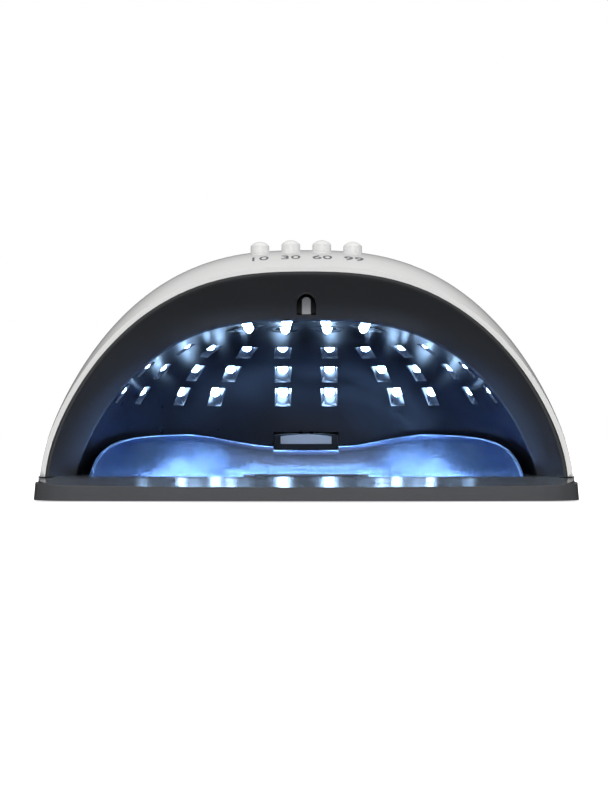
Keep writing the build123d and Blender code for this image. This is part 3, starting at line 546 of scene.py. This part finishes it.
# %% [markdown]
# ## Bezel
# The bezel is a ring of dark plastic that leads from the face into the opening. Its section has a flat
# outer band and a steeper inner band that meet in a soft crease, with both edges rounded. One section
# is carried round the arch, and the slot for the hand sensor is then cut through with a Boolean.

# %% Bezel arches
rake = math.radians(12.0)
farthest, halvings = 200.0, 40


def face_point(x, up, setback):
    """A point of the raked plane this far behind the face, from its coordinates on that plane.

    The plane leans back by the rake: y is the setback times its cosine plus up times its sine, and z is
    up times its cosine less the setback times its sine.
    """
    y = face_y + setback * math.cos(rake) + up * math.sin(rake)
    z = seat + up * math.cos(rake) - setback * math.sin(rake)
    return np.stack([x, y, z], -1)


def raked_arch(dome, setback, angles):
    """Where the raked plane meets the dome, found by halving along rays from the foot's middle."""
    foot = setback * math.tan(rake)
    low, high = np.zeros_like(angles), np.full_like(angles, farthest)
    for _ in range(halvings):
        middle = (low + high) / 2
        reached = face_point(middle * np.cos(angles), foot + middle * np.sin(angles), setback)
        inside = dome.excess(reached) < 0
        low, high = np.where(inside, middle, low), np.where(inside, high, middle)
    return face_point(low * np.cos(angles), foot + low * np.sin(angles), setback)


def between(start, end, shares, forward):
    """Straight lines from start to end, each point then moved forward, level."""
    points = start[:, None] + (end - start)[:, None] * shares[:, None]
    points[..., 1] -= forward
    return points


bezel_depth = 16.0
skirt_depth, skirt_wall, land_width, opening_wall = 7.0, 2.0, 1.2, 1.0
foot_crowding = 0.16  # draws the rays together near both feet, where they are longest
angles = np.linspace(0, math.pi, 241)
angles = angles - foot_crowding * np.sin(2 * angles)
face_rim = raked_arch(plug, 0.0, angles)
skirt_end = raked_arch(plug, skirt_depth, angles)
skirt_inside = raked_arch(plug.inset(skirt_wall), skirt_depth, angles)
land = raked_arch(plug.inset(land_width), 0.0, angles)
opening = raked_arch(cavity.inset(opening_wall), bezel_depth, angles)
print("bezel arches:", len(angles), "points each")

# %% Bezel
# Depth behind the face, over the share of the way from the rim to the opening: the softened greater of
# two straight bands, softness times log(exp(a / softness) + exp(b / softness)).
crease_share, crease_depth, softness = 0.62, 8.6, 0.9
lip_space, wall_behind, foot_clearance = 0.2, 2.4, 0.02
share = np.concatenate([np.linspace(0, 0.5, 9), np.linspace(0.53, 0.71, 10), np.linspace(0.75, 0.97, 6)])
outer_band = crease_depth * share / crease_share
inner_band = crease_depth + (bezel_depth - crease_depth) * (share - crease_share) / (1 - crease_share)
depth = softness * np.log(np.exp(outer_band / softness) + np.exp(inner_band / softness))
depth = np.minimum(depth - depth[0] * (1 - share), bezel_depth - lip_space)
proud = (bezel_depth * share - depth) / math.cos(rake)

lip_start, lip_bulge, lip_half = 0.97, 0.03, 0.9
lip_turn = np.linspace(0, math.pi, 7)[1:]
lip_shares = lip_start + lip_bulge * np.sin(lip_turn)
lip_back = lip_half * (1 - np.cos(lip_turn)) + lip_space
lip_proud = -lip_back + (bezel_depth * lip_shares - bezel_depth) / math.cos(rake)
section = np.concatenate(
    [
        skirt_end[:, None],
        between(skirt_end, face_rim, np.array([0.6, 0.95]), 0.0),
        between(face_rim, land, np.array([0.12, 0.6]), 0.0),
        between(land, opening, share, proud),
        between(land, opening, lip_shares, lip_proud),
        between(land, opening, np.array([0.9, 0.5, 0.1]), -wall_behind),
        skirt_inside[:, None],
    ], 1,
)
section[..., 2] = np.maximum(section[..., 2], seat + foot_clearance)
faces = rod_faces(*section.shape[:2])
bezel = new_piece("bezel", section, faces, bezel_abs, "housing", ("front_bezel",), angle=50)

# %% Sensor slot
slot_width, slot_height, slot_up = 8.3, 7.9, 76.7
slot_from, slot_to, least_side = -4.0, 24.0, 0.4
bend = np.linspace(0, math.pi, 25)
slot_x = np.concatenate([[-slot_width / 2, slot_width / 2], slot_width / 2 * np.cos(bend)])
slot_v = np.concatenate(
    [[-slot_height / 2] * 2, slot_height / 2 - slot_width / 2 + slot_width / 2 * np.sin(bend)]
)
slot_v[2:] = np.maximum(slot_v[2:], -slot_height / 2 + least_side)
slot_walls = np.stack([face_point(slot_x, slot_up + slot_v, setback) for setback in (slot_from, slot_to)])
cutter_mesh = bpy.data.meshes.new("slot_cutter")
cutter_mesh.from_pydata((slot_walls.reshape(-1, 3) * MM).tolist(), [], rod_faces(2, len(slot_x)))
weld(cutter_mesh)
cutter = bpy.data.objects.new("slot_cutter", cutter_mesh)
bpy.context.collection.objects.link(cutter)
cut = bezel.modifiers.new("slot", "BOOLEAN")
cut.object, cut.operation, cut.solver = cutter, "DIFFERENCE", "EXACT"
cut_mesh = result_mesh(bezel)
bezel.modifiers.clear()
bezel.data = cut_mesh
bpy.data.objects.remove(cutter)
print("bezel with its slot:", len(cut_mesh.polygons), "faces")

# %% [markdown]
# ## Reflector wall
# The tray's bright wall is one thin moulding: a band that follows the cavity's plan, highest at the two
# humps, lower in the middle, with a notch for the sensor behind it. Its foot curves in over the mirror,
# and its rim is rolled, which is where the two bright lines come from. A path carries one section.

# %% Path of the wall
def outline(dome, front_y, per_side=90, marks=()):
    """Right half of the dome's plan from front_y round to the back, as x and y, plus x marks to hit.

    On the side y goes with the sine of an even turn to the power 0.9, and x is the half width there. On
    the back x is even and y is the widest place plus the rest of the depth times
    (1 - (x/w)^plan)^(1 / plan).
    """
    turn = np.linspace(0, math.pi / 2, per_side)
    y = front_y + (dome.back_y - front_y) * np.sin(turn) ** 0.9
    x = dome.width_at(y)
    back = np.linspace(0, 1, per_side // 2) * x[-12]
    back = np.sort(np.concatenate([back, marks]))[::-1]
    ahead = x > back[0]
    share = 1 - (back / dome.width) ** dome.plan_power
    back_y = dome.widest_y + (dome.back_y - dome.widest_y) * share ** (1 / dome.plan_power)
    return np.concatenate([x[ahead], back]), np.concatenate([y[ahead], back_y])


def both_sides(x, y):
    """Closes a right half with its mirror image, from right front to left front."""
    keep = x[::-1] > 1e-6
    return np.concatenate([x, -x[::-1][keep]]), np.concatenate([y, y[::-1][keep]])


wall_low, wall_high = corner("tray_reflector")
wall_front_y, wall_foot_z, wall_top = wall_low[1], wall_low[2], wall_high[2]
wall_inset, front_space, notch_x, notch_edge = 7.6, 0.4, 15.7, 0.05
notch_marks = (notch_x + notch_edge, notch_x - notch_edge)
path_x, path_y = both_sides(*outline(cavity.inset(wall_inset), wall_front_y + front_space, marks=notch_marks))
ahead = np.gradient(path_x), np.gradient(path_y)
length = np.hypot(*ahead)
outward = np.stack([ahead[1] / length, -ahead[0] / length], -1)
outward *= np.sign((outward * np.stack([path_x, path_y - crown_y], -1)).sum(1, keepdims=True))
print("wall path:", len(path_x), "places")


# %% Height of the wall
def smooth_step(value):
    """3 v^2 - 2 v^3 for v from 0 to 1, level at both ends and held there beyond them."""
    value = np.clip(value, 0, 1)
    return value * value * (3 - 2 * value)


wall_low_z = seat + 0.4
hump_x, hump_y = 57.0, face_y + 130.0
dip_z, notch_z = seat + 12.0, seat + 10.0
top_space = 0.3
climb = np.clip((path_y - wall_front_y) / (hump_y - wall_front_y), 0, 1)
side_top = wall_low_z + (wall_top - wall_low_z) * (1 - (1 - climb) ** 2)
middle_top = dip_z + (wall_top - dip_z) * smooth_step((np.abs(path_x) - notch_x) / (hump_x - notch_x))
top = np.where(path_y > hump_y, np.minimum(side_top, middle_top), side_top)
top = np.where(np.abs(path_x) < notch_x, notch_z, top) - top_space
print("wall top above the seat, lowest and highest:", round(top.min() - seat, 1), round(top.max() - seat, 1))

# %% Reflector wall
# Across is outward from the path. The rim is a half circle with a groove pressed in its middle. The
# hollow side is a quarter ellipse from the foot to the rim.
half_wall, rim, groove, groove_width = 0.6, 0.8, 0.7, 0.3
cove_reach, cove_lift, foot_lift, rim_join = 5.2, 0.2, 0.05, 0.3
arc = np.linspace(0, math.pi, 17)
cove = np.linspace(0, math.pi / 2, 14)
across = np.concatenate(
    [
        [half_wall, half_wall],
        rim * np.cos(arc),
        -half_wall - cove_reach * (1 - np.cos(cove)),
        [-half_wall - cove_reach, -half_wall, -half_wall],
    ]
)
rim_up = rim * np.sin(arc) - rim - groove * np.exp(-((np.cos(arc) / groove_width) ** 2))
mirror_top = corner("tray_mirror")[1][2]
cove_foot, foot_z = mirror_top + cove_lift, mirror_top + foot_lift
up = np.concatenate(
    [[wall_foot_z, -rim], rim_up, np.full(len(cove), cove_foot), [foot_z, foot_z, wall_foot_z]]
)
is_rim = np.concatenate([[0, 1], np.ones(len(arc)), np.zeros(len(cove)), [0, 0, 0]])
cove_share = np.concatenate([np.zeros(2 + len(arc)), 1 - np.sin(cove), [0, 0, 0]])
cove_climb = cove_share * (top[:, None] - rim - cove_foot - rim_join)
height = np.where(is_rim > 0, top[:, None] + up, up + cove_climb)
wall = np.stack(
    [path_x[:, None] + outward[:, :1] * across, path_y[:, None] + outward[:, 1:] * across, height], -1
)
faces = rod_faces(len(path_x), len(across))
new_piece("reflector_wall", wall, faces, wall_film, "tray", ("tray_reflector",), angle=60)
smooth_copy("tray_mirror", "tray_mirror_floor", mirror_film, "tray")

# %% [markdown]
# ## LED lenses
# Each pocket holds one LED under a bullet-shaped clear lens. All thirty-six are one piece: one profile
# turned about an axis, and that axis placed on each LED board. The boards' places are read off the CAD.

# %% Places of the LEDs
triangles_each = 12


def lamp_axes():
    """Centre, level, up and outward direction of each LED board, from its biggest face.

    Each board is a box of twelve triangles. The two biggest that look towards the middle of the cavity
    are its face. Level is up crossed with outward, and the board's own up is outward crossed with level.
    """
    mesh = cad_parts["led_tiles"].data
    places = read(mesh.vertices, "co", 3)[read(mesh.loops, "vertex_index", kind=int)]
    boards = (places.reshape(-1, 3, 3) / MM).reshape(-1, triangles_each, 3, 3)
    cross = np.cross(boards[:, :, 1] - boards[:, :, 0], boards[:, :, 2] - boards[:, :, 0])
    area = np.linalg.norm(cross, axis=-1)
    middle = boards.mean((1, 2))
    normal = cross / area[..., None]
    inward = (normal * (np.array([0, crown_y, seat]) - middle)[:, None]).sum(-1)
    score = np.where(inward > 0, area, 0)
    best = np.argsort(-score, axis=1)[:, :2]
    rows = np.arange(len(boards))[:, None]
    centre = boards[rows, best].mean((1, 2))
    out = -normal[rows, best].mean(1)
    out /= np.linalg.norm(out, axis=1, keepdims=True)
    level = np.cross([0, 0, 1], out)
    level /= np.linalg.norm(level, axis=1, keepdims=True)
    return centre, level, np.cross(out, level), out


centre, level, upward, out = lamp_axes()
ceiling_limit = 0.93
in_ceiling = out[:, 2] > ceiling_limit
print("LEDs:", len(centre), "of them in the ceiling:", in_ceiling.sum())

# %% Lenses
# A straight foot, then a quarter ellipse to the tip. Those in the ceiling are drawn out longer, so that
# they show below the ridges round them.
bead_shift, lens_radius, lens_straight, lens_cap = 1.5, 2.35, 1.9, 2.5
ceiling_hang = 1.6
turn = np.linspace(0, 2 * math.pi, 24, endpoint=False)
curve = np.linspace(0, math.pi / 2, 9)
profile_r = np.concatenate([[0.0, lens_radius], lens_radius * np.cos(curve)])
profile_w = np.concatenate([[0.0, 0.0], lens_straight + lens_cap * np.sin(curve)])
around = np.stack([profile_r[:, None] * np.cos(turn), profile_r[:, None] * np.sin(turn)], -1)
hang = np.where(in_ceiling, ceiling_hang, 1.0)
lens = (
    (centre + bead_shift * upward)[:, None, None]
    + around[None, ..., :1] * level[:, None, None]
    + around[None, ..., 1:] * upward[:, None, None]
    - (hang[:, None] * profile_w)[..., None, None] * out[:, None, None]
)
lens_quads = grid_quads(len(profile_r), len(turn), closed_columns=True)
lens_faces = copied_faces(lens_quads, len(lens), around[..., 0].size)
new_piece("led_lenses", lens, lens_faces, led_glow, "housing", ("led_beads",))

# %% [markdown]
# ## Ridges round the ceiling LEDs
# The LEDs in the ceiling are ringed by low steps in the moulding, which catch the light as fine lines.
# Each ring is a closed band whose underside is a row of small steps laid on the cavity's ceiling.

# %% Ceiling ridges
radii = np.repeat([6.5, 7.2, 7.9, 8.6], 2)
steps = np.array([0.0, 0.4, 0.4, 0.28, 0.28, 0.16, 0.16, 0.0])
sunk = -0.3
loop_r = np.concatenate([radii, radii[[-1, 0]]])
loop_h = np.concatenate([steps, [sunk, sunk]])
ring_middle = centre[in_ceiling]
turn = np.linspace(0, 2 * math.pi, 48, endpoint=False)
ring_x = ring_middle[:, :1, None] + loop_r[:, None] * np.cos(turn)
ring_y = ring_middle[:, 1:2, None] + loop_r[:, None] * np.sin(turn)
ring_z = seat + cavity.height_at(ring_x, ring_y) - loop_h[:, None]
rings = np.stack([ring_x, ring_y, ring_z], -1)
ring_faces = copied_faces(grid_quads(len(loop_r), len(turn), True, True), len(rings), rings[0, ..., 0].size)
new_piece("ceiling_ridges", rings, ring_faces, inner_abs, "housing", angle=20)
print("ringed ceiling LEDs:", len(rings))

# %% [markdown]
# ## Printed timer numbers
# Each key has its time printed in front of it on the shell. The numbers are plain type, laid on the
# shell by the dome formula, so they lie on its curve a tenth of a millimetre proud.

# %% Printed numbers
ink_lift, ink_half = 0.07, 0.05


def printed(name, words, x, y, size):
    """Raised ink: type outlines filled, thickened a little and laid on the outer dome."""
    curve = bpy.data.curves.new(name, "FONT")
    curve.body, curve.size, curve.align_x = words, size * MM, "CENTER"
    curve.extrude, curve.resolution_u = ink_half * MM, 3
    source = bpy.data.objects.new(name + "_type", curve)
    bpy.context.collection.objects.link(source)
    mesh = result_mesh(source)
    bpy.data.objects.remove(source)
    mesh.name = name
    places = read(mesh.vertices, "co", 3) / MM + [x, y, 0]
    lift = ink_lift + places[:, 2]
    places[:, 2] = seat + outer.height_at(places[:, 0], places[:, 1]) + lift
    mesh.vertices.foreach_set("co", (places * MM).ravel())
    mesh.materials.clear()
    weld(mesh)
    return finish_piece(name, mesh, ink, "housing")


key_times = {"short": "10", "medium": "30", "long": "60", "hold": "99"}
number_size, number_ahead = 9.0, 25.0
for key, words in key_times.items():
    low, high = corner(f"button_{key}")
    printed(f"printed_{key}", words, (low[0] + high[0]) / 2, low[1] - number_ahead, number_size)
print("printed numbers:", *key_times.values())

# %% [markdown]
# ## Sensor window at the back
# Behind the notch sits an infrared window in a black frame, both with a gently arched top. Each is an
# outline on the XZ plane, whose top edge is a parabola, carried straight back along Y.

# %% Arched plates
def arched_plate(name, half_width, low_z, high_z, rise, front_y, back_y, material, node, edge_width):
    """Straight foot and sides; the top falls from high_z by rise times (x / half_width) squared."""
    top_x = np.linspace(half_width, -half_width, 25)
    top_z = high_z - rise * (top_x / half_width) ** 2
    plate_x = np.concatenate([[-half_width, half_width], top_x])
    plate_z = np.concatenate([[low_z, low_z], top_z])
    sides = [np.stack([plate_x, np.full_like(plate_x, y), plate_z], -1) for y in (front_y, back_y)]
    faces = rod_faces(2, len(plate_x))
    piece = new_piece(name, np.stack(sides), faces, material, "housing", (node,), angle=30)
    edge = piece.modifiers.new("edge", "BEVEL")
    edge.width, edge.segments, edge.limit_method = edge_width * MM, 2, "ANGLE"
    return piece


frame_low, frame_high = corner("rear_sensor_frame")
window_low, window_high = corner("rear_sensor_window")
arch_rise, border = 1.0, 0.7
window_front, window_thickness = frame_low[1] + 0.1, 1.0
arched_plate(
    "sensor_frame", frame_high[0], frame_low[2], min(frame_high[2], window_high[2] + border), arch_rise,
    frame_low[1] + 0.5, frame_high[1], black_abs, "rear_sensor_frame", 0.3,
)
arched_plate(
    "sensor_window", window_high[0], window_low[2], window_high[2], arch_rise,
    window_front, window_front + window_thickness, sensor_resin, "rear_sensor_window", 0.15,
)

# %% [markdown]
# ## Small parts
# Screws, boards, keys and leads keep their CAD shapes. The keys and the bar, which are in view, get a
# small radius on their edges, because no moulded edge is knife sharp and the radius catches the light.

# %% Keys and bar
for key in key_times:
    rounded_copy(f"button_{key}", f"key_cap_{key}", button_abs, f"key_{key}", 0.25)
rounded_copy("tray_clamp_bar", "clamp_bar", dark_steel, "tray", 0.2)

# %% Finishes for the CAD parts that stay
finish_of = {
    "clamp_screws": plated_steel, "bezel_screws": plated_steel, "base_screws": plated_steel,
    "board_screws": plated_steel, "keeper_discs": plated_steel, "base_magnets": nickel,
    "rubber_feet": foot_rubber, "base_ring": black_abs, "switch_bodies": black_abs,
    "display_module": black_abs, "dc_jack": black_abs, "dc_jack_pin": nickel,
    "led_tiles": led_board, "control_board": board_mask, "front_sensor_board": dark_mask,
    "rear_sensor_board": dark_mask, "front_sensor_lens": sensor_resin,
    "jack_lead_plus": red_wire, "jack_lead_minus": black_wire,
}
for key in key_times:
    finish_of[f"plunger_{key}"] = black_abs
for node_name, material in finish_of.items():
    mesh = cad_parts[node_name].data
    mesh.materials.clear()
    mesh.materials.append(material)
    mesh.shade_smooth()
    mesh.set_sharp_from_angle(angle=math.radians(35))
print("CAD parts with a new finish:", len(finish_of))

# %% [markdown]
# ## Floor, light and camera
# The floor and the background are plain and pale. Broad soft panels light the shell from in front, from
# above and from both sides. The camera stands low, nearly level with the tray, and looks in where a hand
# would go.

# %% Floor
floor_half, floor_glow = 6.0, 0.75
# Matt card that glows a little, so that it stays white right up to the lamp's shadow.
floor_white = moulded("studio_floor", "#f4f4f4", "#f2f2f2", (0.6, 0.8), 40.0, 0.01)
floor_shader = floor_white.node_tree.nodes["Principled BSDF"]
floor_shader.inputs["Emission Color"].default_value = (1, 1, 1, 1)
floor_shader.inputs["Emission Strength"].default_value = floor_glow
floor = bpy.data.objects.new("floor", bpy.data.meshes.new("floor"))
floor_corners = [(x * floor_half, y * floor_half, 0) for x, y in ((-1, -1), (1, -1), (1, 1), (-1, 1))]
floor.data.from_pydata(floor_corners, [], [(0, 1, 2, 3)])
floor.data.materials.append(floor_white)
bpy.context.collection.objects.link(floor)
floor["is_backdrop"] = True
floor.visible_glossy = False
floor.visible_diffuse = False
print("floor side in metres:", 2 * floor_half)

# %% Background
# White to the eye, but a dim sky that brightens with height for everything that is lit by it.
world = bpy.data.worlds.new("studio")
bpy.context.scene.world = world
world.use_nodes = True
tree = world.node_tree
background = tree.nodes["Background"]
direction = add_node(tree, "ShaderNodeTexCoord").outputs["Generated"]
split = add_node(tree, "ShaderNodeSeparateXYZ", {"Vector": direction})
sky = add_node(
    tree, "ShaderNodeMapRange",
    {"Value": split.outputs["Z"], "From Min": 0.02, "From Max": 0.5, "To Min": 0.03, "To Max": 0.6},
)
seen = add_node(tree, "ShaderNodeLightPath").outputs["Is Camera Ray"]
level_mix = add_node(
    tree, "ShaderNodeMix", {"Factor": seen, "A": sky.outputs["Result"], "B": 1.0}, data_type="FLOAT"
)
tree.links.new(level_mix.outputs["Result"], background.inputs["Strength"])
background.inputs["Color"].default_value = (1, 1, 1, 1)
print("background nodes:", len(tree.nodes))


# %% Light panels
def panel(name, place, target, size, power):
    """A soft rectangular light at a place, turned to its target, with its size in metres."""
    light = bpy.data.lights.new(name, "AREA")
    light.shape = "RECTANGLE"
    light.size, light.size_y = size
    light.energy = power
    lamp = bpy.data.objects.new(name, light)
    bpy.context.collection.objects.link(lamp)
    lamp.location = place
    lamp.rotation_euler = (Vector(target) - Vector(place)).to_track_quat("-Z", "Y").to_euler()
    return lamp


fill_power, overhead_power, side_power = 13.0, 4.0, 6.0
front_fill = panel("front_fill", (0, -1.7, 0.35), (0, 0, 0.03), (1.0, 0.5), fill_power)
front_fill.visible_glossy = False
panel("overhead", (0, 0.1, 1.2), (0, 0, 0.05), (1.2, 1.0), overhead_power)
for side_name, side_x in (("left_front", -1.1), ("right_front", 1.1)):
    side_panel = panel(side_name, (side_x, -0.9, 0.42), (0, -0.1, 0.05), (0.7, 0.75), side_power)
    side_panel.visible_glossy = False
print("light panels:", len(bpy.data.lights))

# %% Camera
eye_aside, eye_distance, eye_height = -0.001, 0.9, 0.02934
eye_pitch, lens_length = 90.65, 99.6
camera = bpy.data.objects.new("camera", bpy.data.cameras.new("camera"))
bpy.context.collection.objects.link(camera)
camera.location = (eye_aside, cad_low[1] - eye_distance, eye_height)
camera.data.lens = lens_length
camera.data.clip_start = 0.01
camera.rotation_euler = (math.radians(eye_pitch), 0, 0)
bpy.context.scene.camera = camera
bpy.context.scene.view_settings.view_transform = "Standard"
print("camera height in mm:", round(eye_height / MM, 1))

# %% Bounds of the finished scene
low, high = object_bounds()
